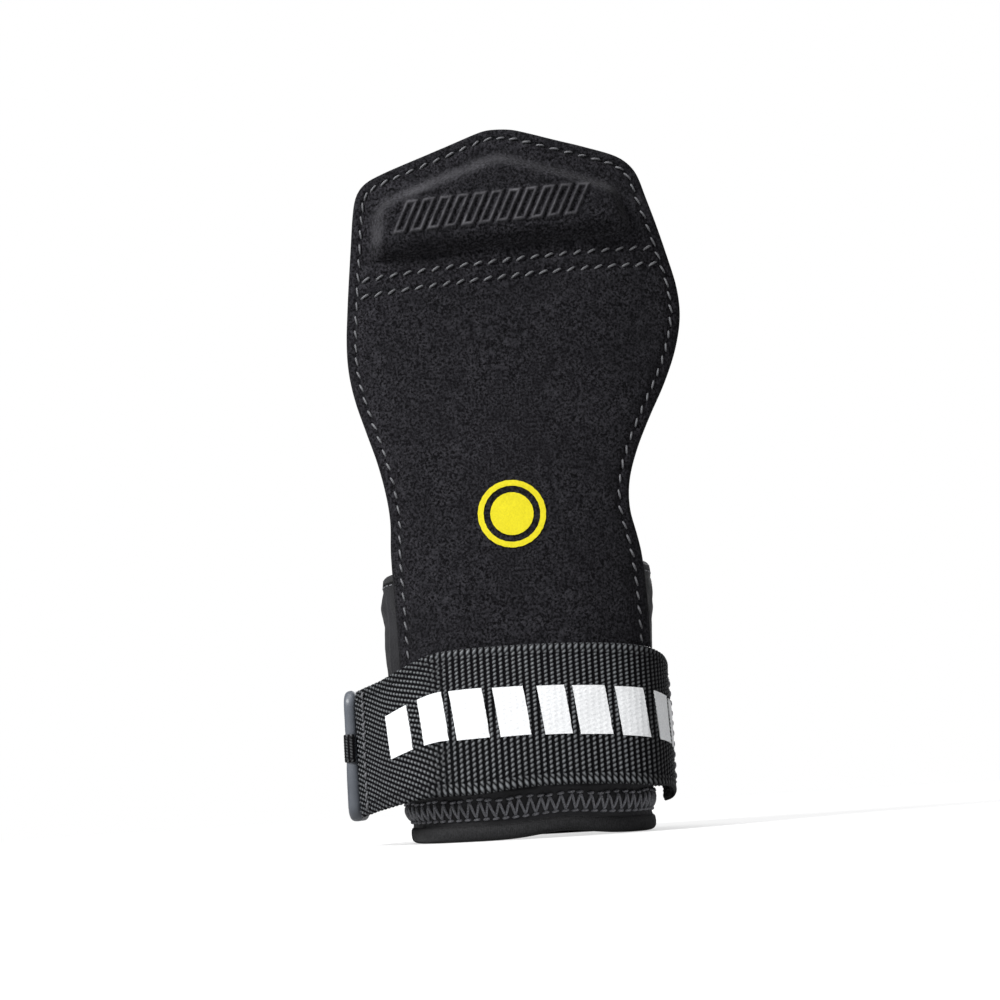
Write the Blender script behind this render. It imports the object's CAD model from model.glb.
"""Looks of a palm grip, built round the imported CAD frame.

A thin padded pad, suede in front, stands up out of an oval padded cuff whose lower rim is at
z = 0. A printed strap crosses the cuff's front; a closure strap goes round its back, through a
plastic ring at the left and back on itself. The front faces -Y, +X is right as seen from the
front, +Z is up. Lengths in the builders are millimetres; make() scales them to metres.
"""
import math

import bmesh
import bpy
import numpy as np
from mathutils import Matrix, Vector, geometry


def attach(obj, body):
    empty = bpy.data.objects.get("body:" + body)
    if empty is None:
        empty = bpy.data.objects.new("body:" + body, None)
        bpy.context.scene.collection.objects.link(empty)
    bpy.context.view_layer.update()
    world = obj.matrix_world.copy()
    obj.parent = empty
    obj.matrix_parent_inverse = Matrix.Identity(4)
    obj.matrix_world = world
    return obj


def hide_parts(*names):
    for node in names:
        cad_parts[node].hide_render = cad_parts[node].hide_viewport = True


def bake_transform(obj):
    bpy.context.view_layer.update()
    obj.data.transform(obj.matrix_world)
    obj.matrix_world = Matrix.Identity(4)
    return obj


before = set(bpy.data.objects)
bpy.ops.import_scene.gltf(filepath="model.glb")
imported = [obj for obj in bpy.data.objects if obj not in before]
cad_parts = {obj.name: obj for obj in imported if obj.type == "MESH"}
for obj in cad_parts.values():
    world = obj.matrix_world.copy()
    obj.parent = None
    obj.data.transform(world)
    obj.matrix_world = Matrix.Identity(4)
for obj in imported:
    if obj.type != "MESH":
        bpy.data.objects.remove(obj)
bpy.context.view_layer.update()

MM = 0.001
CENTRE_Y = 4.1  # y of the cuff's axis
CUFF_H = 82.0
PAD_THICK = 4.62
FOLD_Z, FOLD_HALF = 84.5, 10  # where the pad bends over the cuff
CURL_Z, CURL_SLOPE, CURL_HALF_M = 169.6, 0.066, 0.0075  # the slanted fold under the ridge
STRAP_Z = 28.8  # middle height of the straps

# ------------------------------------------------------------------ numbers and curves


def clip01(t):
    return np.clip(t, 0.0, 1.0)


def smooth(t):
    """Eased step from 0 to 1 while t goes from 0 to 1."""
    c = clip01(t)
    return c * c * (3 - 2 * c)


def gauss(t):
    return np.exp(-t * t)


def quarter_round(t):
    """Quarter circle rising from 0 to 1 while t goes from 0 to 1."""
    return np.sqrt(1 - (1 - t) ** 2)


def signed_power(value, power):
    return np.sign(value) * np.abs(value) ** power


def unit(vectors):
    return vectors / np.linalg.norm(vectors, axis=-1, keepdims=True)


def arc_lengths(points):
    return np.r_[0, np.cumsum(np.linalg.norm(np.diff(points, axis=0), axis=1))]


def turned(vector, degrees):
    cos, sin = math.cos(math.radians(degrees)), math.sin(math.radians(degrees))
    return np.array([vector[0] * cos - vector[1] * sin, vector[0] * sin + vector[1] * cos])


def spline(points, s):
    """Catmull-Rom curve through points, s counting points."""
    points = np.asarray(points, float)
    last = len(points) - 1
    i = np.clip(np.floor(s).astype(int), 0, last - 1)
    a, b, c, d = (points[np.clip(i + k, 0, last)] for k in (-1, 0, 1, 2))
    t = (s - i)[:, None]
    return 0.5 * (2 * b + (c - a) * t + (2 * a - 5 * b + 4 * c - d) * t * t
                  + (3 * b - a - 3 * c + d) * t**3)


def table(pairs, position):
    """Value of a position table, averaged over a few millimetres so that no crease shows."""
    positions, values = zip(*pairs)
    position = np.asarray(position, float)
    return sum(np.interp(position + k, positions, values) for k in (-6, -3, 0, 3, 6)) / 5


def noise(x, y, seed):
    lattice = np.random.default_rng(seed).random((128, 128)) * 2 - 1
    x, y = np.asarray(x, float), np.asarray(y, float)
    xi, yi = np.floor(x).astype(int), np.floor(y).astype(int)
    u, v = smooth(x - xi), smooth(y - yi)

    def corner(i, j):
        return lattice[(xi + i) % 128, (yi + j) % 128]

    lower = corner(0, 0) * (1 - u) + corner(1, 0) * u
    return lower * (1 - v) + (corner(0, 1) * (1 - u) + corner(1, 1) * u) * v


def fractal(x, y, seed):
    return sum(noise(x * 2**k, y * 2**k, seed + k) / 2**k for k in range(3)) / 1.6


def strap_rise(x, y):
    """How far the front strap climbs towards the front and drops at its left end."""
    return 0.24 * (np.sqrt(y * y + 36) - y) / 2 - 3.3 * smooth((-x - 24) / 20)


def sag(x):
    """The front strap's lower edge hangs a little where it crosses the padding."""
    hang = 3.3 * smooth((x + 46) / 22) + 1.4 * gauss((x + 16) / 12)
    return hang * (1 - 0.6 * smooth((x - 36) / 8))


class Line:
    """A strap's smooth plan line by arc length; side turns the outward normal."""

    def __init__(self, points, side, rise=False):
        last = len(points) - 1
        place = np.linspace(0, last, 60 * last + 1)
        self.points = spline(points, place)
        self.arcs = arc_lengths(self.points)
        self.length = self.arcs[-1]
        self.side = side
        self.rise = rise
        self.stations = np.interp(np.arange(len(points)), place, self.arcs)

    def station(self, number):
        """Arc length at a (fractional) point number."""
        return np.interp(number, np.arange(len(self.stations)), self.stations)

    def plan(self, u):
        return np.stack([np.interp(u, self.arcs, self.points[:, k]) for k in (0, 1)], -1)

    def point(self, u, out, across):
        """Place in space: u along, out from the line, across from the strap's middle."""
        u = np.asarray(u, float)
        ahead = self.plan(np.clip(u + 0.6, 0, self.length))
        heading = unit(ahead - self.plan(np.clip(u - 0.6, 0, self.length)))
        plan = self.plan(u)
        x = plan[..., 0] + heading[..., 1] * self.side * out
        y = plan[..., 1] - heading[..., 0] * self.side * out
        z = across + STRAP_Z
        shift = 0.0
        if self.rise:
            shift = strap_rise(plan[..., 0], plan[..., 1])
            shift = shift - sag(plan[..., 0]) * np.clip((STRAP_Z - z) / 19, 0, 1.1)
        return np.stack(np.broadcast_arrays(x, y + CENTRE_Y, z + shift), -1)


# ------------------------------------------------------------------ meshes


def outward(mesh):
    """Make all faces point outward."""
    bm = bmesh.new()
    bm.from_mesh(mesh)
    bmesh.ops.recalc_face_normals(bm, faces=bm.faces)
    bm.to_mesh(mesh)
    bm.free()


def sharpen(mesh, degrees):
    """Keep edges steeper than this crisp under smooth shading."""
    bm = bmesh.new()
    bm.from_mesh(mesh)
    for edge in bm.edges:
        if len(edge.link_faces) == 2 and edge.calc_face_angle(0) > math.radians(degrees):
            edge.smooth = False
    bm.to_mesh(mesh)
    bm.free()


def make(name, skin, paint, nodes=(), ride=None, blend=None, attributes=None, rest=None,
         normals=None, crisp=None):
    """nodes are the CAD pieces it stands for, its own name if left out; rest holds the texture
    coordinates, the vertices if left out."""
    verts, faces = skin
    verts = np.asarray(verts, float)
    mesh = bpy.data.meshes.new(name)
    mesh.from_pydata((verts * MM).tolist(), [], faces)
    layer = mesh.attributes.new("rest", "FLOAT_VECTOR", "POINT")
    layer.data.foreach_set("vector", np.asarray(verts if rest is None else rest, np.float32).ravel())
    for key, values in (attributes or {}).items():
        layer = mesh.attributes.new(key, "FLOAT", "POINT")
        layer.data.foreach_set("value", np.asarray(values, np.float32).ravel())
    if normals is None:
        outward(mesh)
    mesh.polygons.foreach_set("use_smooth", [True] * len(mesh.polygons))
    mesh.materials.append(paint.material)
    mesh.update()
    obj = bpy.data.objects.new(name, mesh)
    bpy.context.scene.collection.objects.link(obj)
    if normals is not None:
        mesh.normals_split_custom_set_from_vertices(normals.tolist())
    if crisp:
        sharpen(mesh, crisp)
    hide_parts(*(nodes or (name,)))
    if ride:
        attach(obj, ride)
    if blend:
        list(blend)
        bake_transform(obj)


def loft(sections, closed=False):
    """Skin over sections (n, k, 3): capped at both ends, or closed into a hoop."""
    sections = np.asarray(sections, float)
    n, k = sections.shape[:2]
    i, j = np.meshgrid(np.arange(n if closed else n - 1), np.arange(k), indexing="ij")
    here, there = i * k, ((i + 1) % n) * k
    following = (j + 1) % k
    corners = [here + j, here + following, there + following, there + j]
    faces = np.stack(corners, -1).reshape(-1, 4).tolist()
    if not closed:
        faces += [list(range(k))[::-1], [(n - 1) * k + q for q in range(k)]]
    return sections.reshape(-1, 3), faces


def two_sided(outer, inner):
    """Sections that go out along one face of a slab and come back along the other."""
    return np.concatenate([outer, inner[:, ::-1]], 1)


def merge(parts):
    verts, faces, offset = [], [], 0
    for part_verts, part_faces in parts:
        verts.append(part_verts)
        faces += [[q + offset for q in face] for face in part_faces]
        offset += len(part_verts)
    return np.concatenate(verts), faces


def walls(faces, count):
    """Side faces between the front copy and the back copy, along every free edge."""
    edges = {}
    for face in faces:
        for pair in zip(face, face[1:] + face[:1]):
            edges[pair] = True
    return [[b, a, a + count, b + count] for (a, b) in edges if (b, a) not in edges]


def shell(faces, count):
    """Front faces, the same ones reversed on the back copy, and the walls."""
    return faces + [[q + count for q in face[::-1]] for face in faces] + walls(faces, count)


def tube(path, radius, sides=8):
    """Round thread along a path (n, 3)."""
    path = np.asarray(path, float)
    heading = unit(np.gradient(path, axis=0))
    reference = np.array([0.0, 0.0, 1.0])
    if abs(heading[len(heading) // 2] @ reference) > 0.95:
        reference = np.array([0.31, 0.95, 0.1])
    a = unit(np.cross(heading, reference))
    b = np.cross(heading, a)
    turn = np.linspace(0, 2 * math.pi, sides, endpoint=False)[None, :, None]
    radius = np.broadcast_to(radius, (len(path),))[:, None, None]
    return loft(path[:, None] + radius * (np.cos(turn) * a[:, None] + np.sin(turn) * b[:, None]))


def stitch(start, end, out, radius, lift, sink):
    """One stitch on a surface facing out; its ends dive under the surface."""
    t = np.linspace(0, 1, 7)
    ends = np.abs(2 * t - 1)
    arch = (1 - ends**3.2) * (lift + sink) - sink
    path = start + (end - start) * t[:, None] + np.asarray(out) * arch[:, None]
    return tube(path, radius * (1 - 0.35 * ends**3))


# ------------------------------------------------------------------ materials


class Graph:
    """Short ways to add shader nodes to a tree."""

    def __init__(self, tree):
        self.tree = tree

    def node(self, kind, **settings):
        node = self.tree.nodes.new(kind)
        for key, value in settings.items():
            setattr(node, key, value)
        return node

    def put(self, socket, value):
        """Link an output to the socket, or set its value."""
        if hasattr(value, "links"):
            self.tree.links.new(value, socket)
        else:
            socket.default_value = value

    def math(self, operation, a, b):
        node = self.node("ShaderNodeMath", operation=operation)
        self.put(node.inputs[0], a)
        self.put(node.inputs[1], b)
        return node.outputs[0]

    def remap(self, value, to, source=(0.3, 0.7)):
        node = self.node("ShaderNodeMapRange")
        for key, item in zip(("Value", "From Min", "From Max", "To Min", "To Max"),
                             (value, *source, *to)):
            self.put(node.inputs[key], item)
        return node.outputs["Result"]

    def mix(self, factor, a, b):
        node = self.node("ShaderNodeMix", data_type="RGBA")
        self.put(node.inputs[0], factor)
        self.put(node.inputs[6], a if hasattr(a, "links") else (*a, 1))
        self.put(node.inputs[7], b if hasattr(b, "links") else (*b, 1))
        return node.outputs[2]


class Paint(Graph):
    """A Principled material textured by the "rest" attribute, in millimetres."""

    def __init__(self, name, rough, specular, sheen=0.0, sheen_rough=0.5, slot=None):
        self.slot = slot or name
        self.material = bpy.data.materials.new(name)
        self.material.use_nodes = True
        super().__init__(self.material.node_tree)
        self.inputs = self.tree.nodes["Principled BSDF"].inputs
        self.inputs["Roughness"].default_value = rough
        self.inputs["Specular IOR Level"].default_value = specular
        if sheen:
            self.inputs["Sheen Weight"].default_value = sheen
            self.inputs["Sheen Roughness"].default_value = sheen_rough
        self.rest = self.node("ShaderNodeAttribute", attribute_name="rest").outputs["Vector"]
        self.normal = None

    def attribute(self, name):
        return self.node("ShaderNodeAttribute", attribute_name=name).outputs["Fac"]

    def noise(self, size, detail=2.0, rough=0.55, stretch=None):
        """Noise whose blobs are about size millimetres."""
        node = self.node("ShaderNodeTexNoise")
        node.inputs["Scale"].default_value = 1.0 / size
        node.inputs["Detail"].default_value = detail
        node.inputs["Roughness"].default_value = rough
        vector = self.rest
        if stretch:
            mapping = self.node("ShaderNodeMapping")
            mapping.inputs["Scale"].default_value = stretch
            self.put(mapping.inputs["Vector"], self.rest)
            vector = mapping.outputs["Vector"]
        self.put(node.inputs["Vector"], vector)
        return node.outputs["Fac"]

    def voronoi(self, size):
        node = self.node("ShaderNodeTexVoronoi")
        node.inputs["Scale"].default_value = 1.0 / size
        self.put(node.inputs["Vector"], self.rest)
        return node.outputs["Distance"]

    def wave(self, direction, scale, distortion):
        node = self.node("ShaderNodeTexWave", wave_type="BANDS", bands_direction=direction)
        node.inputs["Scale"].default_value = scale
        node.inputs["Distortion"].default_value = distortion
        self.put(node.inputs["Vector"], self.rest)
        return node.outputs["Fac"]

    def tones(self, value, dark, light, source=(0.3, 0.7), most=1.0):
        """Colour going from dark to light (by most at most) as value crosses source."""
        return self.mix(self.remap(value, to=(0.0, most), source=source), dark, light)

    def color(self, value):
        self.put(self.inputs["Base Color"], value)

    def rough(self, value, low, high):
        self.put(self.inputs["Roughness"], self.remap(value, to=(low, high)))

    def bump(self, height, depth):
        """Bump over the earlier ones, depth in millimetres for a height of one."""
        node = self.node("ShaderNodeBump")
        node.inputs["Strength"].default_value = 1.0
        node.inputs["Distance"].default_value = depth * MM
        self.put(node.inputs["Height"], height)
        if self.normal is not None:
            self.put(node.inputs["Normal"], self.normal)
        self.normal = node.outputs["Normal"]
        self.put(self.inputs["Normal"], self.normal)


def suede_paint():
    p = Paint("suede", rough=0.95, specular=0.035, sheen=0.03)
    grain = p.noise(size=0.75, detail=3.0, rough=0.7)
    nap = p.noise(size=2.6, detail=3.0, rough=0.6, stretch=(1, 1, 0.8))
    cloud = p.noise(size=17, detail=3.0)
    color = p.tones(grain, dark=(0.0010, 0.0010, 0.0013), light=(0.0365, 0.0355, 0.0410),
                    source=(0.40, 0.63))
    color = p.tones(nap, color, (0.0055, 0.0054, 0.0066), source=(0.38, 0.66), most=0.5)
    color = p.tones(cloud, color, (0.0065, 0.0064, 0.0076), source=(0.35, 0.7), most=0.4)
    # darker at the rim and in the seam, paler where the nap is rubbed
    edge = p.math("MULTIPLY", p.attribute("edge"), 0.45)
    color = p.mix(edge, color, (0.003, 0.003, 0.0034))
    rubbed = p.math("MULTIPLY", p.attribute("worn"), p.remap(nap, to=(0.35, 1.0)))
    p.color(p.mix(rubbed, color, (0.122, 0.120, 0.130)))
    p.rough(nap, low=0.86, high=0.98)
    p.bump(nap, depth=0.28)
    p.bump(grain, depth=0.30)
    return p


def backing_paint():
    p = Paint("backing", rough=0.62, specular=0.35, sheen=0.06)
    cells, cloud = p.voronoi(size=1.5), p.noise(size=9, detail=3.0)
    p.color(p.tones(cloud, dark=(0.010, 0.0096, 0.0096), light=(0.024, 0.023, 0.0225)))
    p.rough(cloud, low=0.5, high=0.72)
    p.bump(cells, depth=0.12)
    p.bump(p.noise(size=0.4), depth=0.05)
    return p


def foam_paint(name, dark, light):
    p = Paint(name, rough=0.9, specular=0.15)
    cells = p.voronoi(size=0.9)
    p.color(p.tones(cells, dark, light, source=(0.1, 0.6)))
    p.bump(cells, depth=0.25)
    return p


def webbing_paint(name, light):
    """Pale on top of the weave, nearly black in its gaps."""
    p = Paint(name, rough=0.45, specular=0.35)
    height = p.attribute("weave")
    fibre = p.noise(size=0.35, rough=0.6, stretch=(1, 1, 3))
    wear = p.noise(size=6)
    tone = p.math("POWER", p.remap(height, to=(0.0, 1.0), source=(0.28, 1.0)), 1.7)
    tone = p.math("MULTIPLY", tone, p.remap(fibre, to=(0.6, 1.2)))
    tone = p.math("MULTIPLY", tone, p.remap(wear, to=(0.8, 1.1)))
    tone = p.math("MULTIPLY", tone, p.attribute("tone"))
    p.color(p.mix(tone, (0.0042, 0.0042, 0.0048), light))
    shine = p.remap(height, to=(0.01, 0.4), source=(0.3, 0.9))
    p.put(p.inputs["Specular IOR Level"], shine)
    p.rough(fibre, low=0.42, high=0.62)
    p.bump(fibre, depth=0.05)
    return p


def cover_paint():
    p = Paint("cuff_cover", rough=0.6, specular=0.22, sheen=0.03)
    cells, cloud, grain = p.voronoi(size=0.85), p.noise(size=12, detail=3.0), p.noise(size=0.5)
    p.color(p.tones(cloud, dark=(0.0095, 0.0095, 0.0108), light=(0.021, 0.021, 0.0235)))
    p.rough(grain, low=0.5, high=0.7)
    p.bump(cells, depth=0.10)
    p.bump(grain, depth=0.05)
    return p


def lining_paint():
    """Brushed knit: rows of small loops."""
    p = Paint("lining", rough=0.95, specular=0.1, sheen=0.25)
    rows = p.wave("Z", scale=0.36, distortion=1.2)
    fuzz = p.noise(size=0.5, detail=3.0, rough=0.7)
    height = p.math("ADD", p.math("MULTIPLY", rows, 0.5), p.math("MULTIPLY", fuzz, 0.5))
    p.color(p.tones(height, dark=(0.012, 0.012, 0.013), light=(0.04, 0.04, 0.043),
                    source=(0.25, 0.75)))
    p.bump(height, depth=0.3)
    return p


def binding_paint():
    p = Paint("binding", rough=0.7, specular=0.2, sheen=0.05)
    ribs = p.wave("X", scale=0.55, distortion=0.4)
    grain = p.noise(size=0.5, rough=0.6)
    p.color(p.tones(grain, dark=(0.007, 0.007, 0.0075), light=(0.024, 0.024, 0.026)))
    p.bump(ribs, depth=0.08)
    p.bump(grain, depth=0.12)
    return p


def hook_loop_paint():
    p = Paint("hook_loop", rough=0.95, specular=0.1, sheen=0.2)
    pile, cells = p.noise(size=0.55, detail=4.0, rough=0.75), p.voronoi(size=0.8)
    p.color(p.tones(pile, dark=(0.006, 0.006, 0.0065), light=(0.035, 0.035, 0.037),
                    source=(0.35, 0.65)))
    p.bump(pile, depth=0.45)
    p.bump(cells, depth=0.2)
    return p


def thread_paint():
    p = Paint("thread", rough=0.55, specular=0.35, sheen=0.05)
    strands, cloud = p.noise(size=0.28, rough=0.6), p.noise(size=14)
    color = p.tones(strands, dark=(0.045, 0.045, 0.05), light=(0.185, 0.187, 0.198))
    p.color(p.tones(cloud, color, (0.05, 0.05, 0.055), source=(0.35, 0.65), most=0.45))
    p.bump(strands, depth=0.12)
    return p


def dark_thread_paint():
    p = Paint("thread_dark", rough=0.5, specular=0.4, slot="thread")
    strands = p.noise(size=0.3, rough=0.6)
    p.color(p.tones(strands, dark=(0.05, 0.05, 0.056), light=(0.26, 0.262, 0.285)))
    p.bump(strands, depth=0.12)
    return p


def print_paint(name, dark, light):
    p = Paint(name, rough=0.5, specular=0.35)
    grain, wear = p.noise(size=0.5, rough=0.6), p.noise(size=5)
    color = p.tones(grain, dark, light, source=(0.25, 0.75))
    p.color(p.tones(wear, color, dark, source=(0.35, 0.7), most=0.25))
    p.rough(grain, low=0.42, high=0.6)
    p.bump(grain, depth=0.06)
    return p


def ring_paint():
    p = Paint("ring_plastic", rough=0.42, specular=0.5)
    grain, cloud = p.noise(size=0.3, rough=0.5), p.noise(size=7)
    p.color(p.tones(cloud, dark=(0.070, 0.078, 0.092), light=(0.094, 0.103, 0.120)))
    p.rough(grain, low=0.38, high=0.52)
    p.bump(grain, depth=0.02)
    return p


def rubber_paint():
    p = Paint("tab_rubber", rough=0.6, specular=0.4)
    grain = p.noise(size=0.35, rough=0.5)
    p.color(p.tones(grain, dark=(0.010, 0.010, 0.011), light=(0.022, 0.022, 0.024)))
    p.bump(grain, depth=0.06)
    return p


SUEDE, BACKING = suede_paint(), backing_paint()
CORE = foam_paint("stiffener", dark=(0.03, 0.03, 0.03), light=(0.085, 0.085, 0.085))
FOAM = foam_paint("foam", dark=(0.012, 0.012, 0.012), light=(0.04, 0.04, 0.04))
WEBBING = webbing_paint("webbing", light=(0.185, 0.196, 0.207))
CLOSURE_WEBBING = webbing_paint("closure_webbing", light=(0.105, 0.109, 0.115))
COVER, LINING, BINDING = cover_paint(), lining_paint(), binding_paint()
HOOK_LOOP, THREAD, DARK_THREAD = hook_loop_paint(), thread_paint(), dark_thread_paint()
WHITE = print_paint("white_print", dark=(0.66, 0.67, 0.68), light=(0.88, 0.89, 0.90))
YELLOW = print_paint("yellow_print", dark=(0.56, 0.48, 0.005), light=(0.70, 0.615, 0.005))
RING, RUBBER = ring_paint(), rubber_paint()

# ------------------------------------------------------------------ the pad's shape

# Outline seen from the front: (x, z), both sides upward, the bottom from right to left.
LEFT = [
    (-34.5, 24), (-36.2, 40), (-36.7, 56), (-36.9, 70), (-37.2, 82), (-37.2, 88), (-36.8, 96),
    (-37.6, 104), (-39.7, 114), (-42.7, 124), (-45.6, 134), (-47.1, 143), (-47.2, 152),
    (-46.3, 162), (-45.3, 171), (-44.2, 180), (-43, 189.5), (-41.6, 195.2), (-38.7, 198.6),
    (-33.4, 200.9), (-24, 203.9), (-14, 207.2), (-4.6, 210.5), (-0.6, 211.5),
]
RIGHT = [
    (36.5, 24), (38.6, 40), (39.1, 56), (38.9, 70), (38, 82), (36.9, 88), (35.2, 96),
    (35.7, 104.5), (38.7, 114), (43.3, 124), (48.4, 134), (52.4, 144), (54.6, 154),
    (54.2, 163), (51.9, 172), (48.9, 182), (46.2, 190), (44, 196.4), (41.6, 199.7),
    (37.3, 202.4), (28, 205.2), (19, 207.7), (10, 210.4), (5.6, 211.4),
]
BOTTOM = [(26, 22.6), (12, 22.2), (0, 22), (-12, 22.2), (-25, 22.6)]
# Back face by height: (z, y at x = 0 from CENTRE_Y), and (z, how much further back at x = 39).
BACK_Y = [(0, -28.5), (80, -31), (84, -31.1), (102, -30.3), (128, -29.9), (153, -30.6),
          (174, -32.0), (195, -34.2), (212, -36.6)]
BACK_DIP = [(0, 14), (56, 14), (84, 10), (98, 7.5), (122, 5.5), (152, 4.6), (184, 3.6),
            (212, 2.8)]
SEAM_HEIGHTS, SEAM_SLOPE = (167.0, 171.9), 0.058  # two slanted stitched rows
SPLIT_Z = 152.0  # each layer is cut here into two pieces
SEAM_INSET = 3.0  # the edge stitches' distance from the rim
DEEP = 9.0  # a rim distance at which the rim has no effect


def smooth_loop(values, sigma):
    """Gaussian smoothing round a closed loop, sigma in samples."""
    reach = int(4 * sigma) + 1
    shifts = np.arange(-reach, reach + 1)
    weights = np.exp(-0.5 * (shifts / sigma) ** 2)
    weights /= weights.sum()
    return sum(w * np.roll(values, -k, axis=0) for k, w in zip(shifts, weights))


def outline():
    """Evenly spaced points round the pad, and the length round it."""
    points = np.array(LEFT + RIGHT[::-1] + BOTTOM, float)
    n = len(points)
    around = np.r_[points[-3:], points, points[:4]]
    loop = spline(around, np.linspace(0, n, 60 * n, endpoint=False) + 3)
    loop = np.r_[loop, loop[:1]]
    arcs = arc_lengths(loop)
    length = arcs[-1]
    places = np.linspace(0, length, int(round(length / 0.7)), endpoint=False)
    even = np.stack([np.interp(places, arcs, loop[:, k]) for k in (0, 1)], 1)
    return smooth_loop(even, 1.6), length


OUT, PERIMETER = outline()
TANGENT = unit(np.roll(OUT, -1, 0) - np.roll(OUT, 1, 0))
# the loop runs up the left side, so the inside is on its right hand
INWARD = unit(smooth_loop(np.stack([TANGENT[:, 1], -TANGENT[:, 0]], 1), 5.0))
ARC = np.arange(len(OUT)) * PERIMETER / len(OUT)
EDGE_STITCHES = int(round(PERIMETER / 4.3))
STITCH_PITCH = PERIMETER / EDGE_STITCHES


def ridge_margins(x, z):
    """Distance below the ridge's rounded roof, and from its left side."""
    return 211.3 - 0.33 * np.sqrt((x - 2.3) ** 2 + 6) - z, x + 44.5 - (z - 170) * 0.1


def ridge(x, z):
    """Height of the padded ridge, 0 to about 1: a firm bevel and a slightly crowned top."""
    below_roof, from_left = ridge_margins(x, z)
    roof = smooth((below_roof - 5.8) / 5.4)
    left = smooth((from_left - 5.0) / 5.4)
    right = smooth((52.0 - (z - 170) * 0.3 - x - 7.0) / 4.6)
    # a roll: steep underneath, easing off towards the roof
    rise = z - 175.3 - 0.045 * x
    under = (1 - (1 - clip01(rise / 6.5)) ** 2.1) * smooth(rise / 1.6)
    return roof * left * right * under * (1.10 - 0.42 * smooth((rise - 6) / 24))


def bar_distances(x, z):
    """Signed distance to each of the eleven slanted bars pressed into the ridge."""
    rise = z - (186.9 + 0.040 * x)
    for i in range(11):
        centre = -26.5 + 5.15 * i
        yield np.maximum(np.abs(x - centre - 0.5 * rise) - 1.35, np.abs(rise) - 4.3)


def emboss(x, z):
    """The bars in millimetres: raised outline, sunken middle, a faint trough around."""
    return sum(0.55 * gauss(d / 0.5) - 0.30 * smooth((-d - 0.3) / 0.7)
               - 0.22 * gauss((d - 1.4) / 0.6) for d in bar_distances(x, z))


def worn(x, z):
    """Where the nap is rubbed pale: the pressed outlines and the ridge's upper left rim."""
    bars = np.max([gauss(d / 0.42) for d in bar_distances(x, z)], axis=0)
    bars = bars * (0.75 + 0.25 * noise(x / 3.0, z / 3.0, 7)) * (0.95 - 0.35 * smooth((x - 8) / 20))
    roof, left = ridge_margins(x, z)
    upper = gauss((roof - 8.6) / 2.0) * smooth((left - 7) / 3) * (1 - 0.6 * smooth((x - 2) / 10))
    side = gauss((left - 7.8) / 2.0) * smooth((roof - 8) / 3) * smooth((z - 177) / 4)
    patchy = 0.7 + 0.3 * noise(x / 4, z / 4, 9)
    return clip01(bars + 0.36 * np.maximum(upper, side) * patchy)


def seam_distances(x, z):
    return [z - height - SEAM_SLOPE * x for height in SEAM_HEIGHTS]


def back_y(x, z):
    return CENTRE_Y + table(BACK_Y, z) + table(BACK_DIP, z) * (np.abs(x) / 39) ** 2.6


def pinch(depth):
    """1 at the rim, where the layers are sewn together, 0 from 6 mm inside."""
    return 1 - smooth(depth / 6.0)


def front_y(x, z, depth=DEEP):
    """Plain front face; depth is the distance from the rim."""
    at_seam = np.maximum(*[gauss(d / 4.0) for d in seam_distances(x, z)])
    fullness = 0.35 * smooth((depth - 3) / 6) * (1 - at_seam)
    return back_y(x, z) - PAD_THICK - 4.9 * ridge(x, z) + 0.55 * pinch(depth) - fullness


def rear_y(x, z, depth=DEEP):
    """Plain rear face."""
    return back_y(x, z) - 0.35 * pinch(depth)


def unevenness(x, z):
    return 0.30 * fractal(x / 26, z / 26, 11) + 0.07 * fractal(x / 5, z / 5, 23)


def rim_round(depth, radius):
    """How far a face falls away over its rounded rim."""
    short = np.clip(radius - depth, 0, radius)
    return radius - np.sqrt(radius * radius - short * short)


def suede_y(x, z, depth, arc):
    """Front face with its bars, seam grooves puckered by the stitches, and a round rim."""
    y = front_y(x, z, depth) - unevenness(x, z)
    y = y - emboss(x, z) * smooth((ridge(x, z) - 0.35) / 0.2)
    groove = 0.42 * gauss((depth - SEAM_INSET) / 0.62)
    groove = groove * (1 + 0.35 * np.cos(2 * math.pi * arc / STITCH_PITCH))
    pucker = 1 + 0.3 * np.cos(2 * math.pi * x / 4.1)
    for d in seam_distances(x, z):
        groove = np.maximum(groove, 0.50 * gauss(d / 0.75) * pucker * (depth > SEAM_INSET))
    return y + groove + rim_round(depth, 1.15)


def backing_y(x, z, depth):
    """Rear face with its seam grooves and a round rim."""
    y = rear_y(x, z, depth) + 0.15 * fractal(x / 20, z / 20, 31)
    y = y - 0.30 * gauss((depth - SEAM_INSET) / 0.7)
    for d in seam_distances(x, z):
        y = y - 0.35 * gauss(d / 0.9) * (depth > SEAM_INSET)
    return y - rim_round(depth, 0.7)


# ------------------------------------------------------------------ the pad's layers


def inside(points, polygon):
    x, y = points[:, 0], points[:, 1]
    result = np.zeros(len(points), bool)
    for (x0, y0), (x1, y1) in zip(polygon, np.roll(polygon, -1, 0)):
        if y0 == y1:
            continue
        result ^= ((y0 > y) != (y1 > y)) & (x < (x1 - x0) * (y - y0) / (y1 - y0) + x0)
    return result


def triangle_grid(step, x0, x1, z0, z1):
    rows = []
    for i, z in enumerate(np.arange(z0, z1, step * 0.866)):
        xs = np.arange(x0 + (step / 2 if i % 2 else 0), x1, step)
        rows.append(np.stack([xs, np.full(len(xs), z)], 1))
    return np.concatenate(rows)


def counter_clockwise(points, face):
    """The face turned so that it looks to the front, -Y."""
    x, z = points[face].T
    area = 0.5 * (np.dot(x, np.roll(z, -1)) - np.dot(z, np.roll(x, -1)))
    return face if area > 0 else face[::-1]


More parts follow.
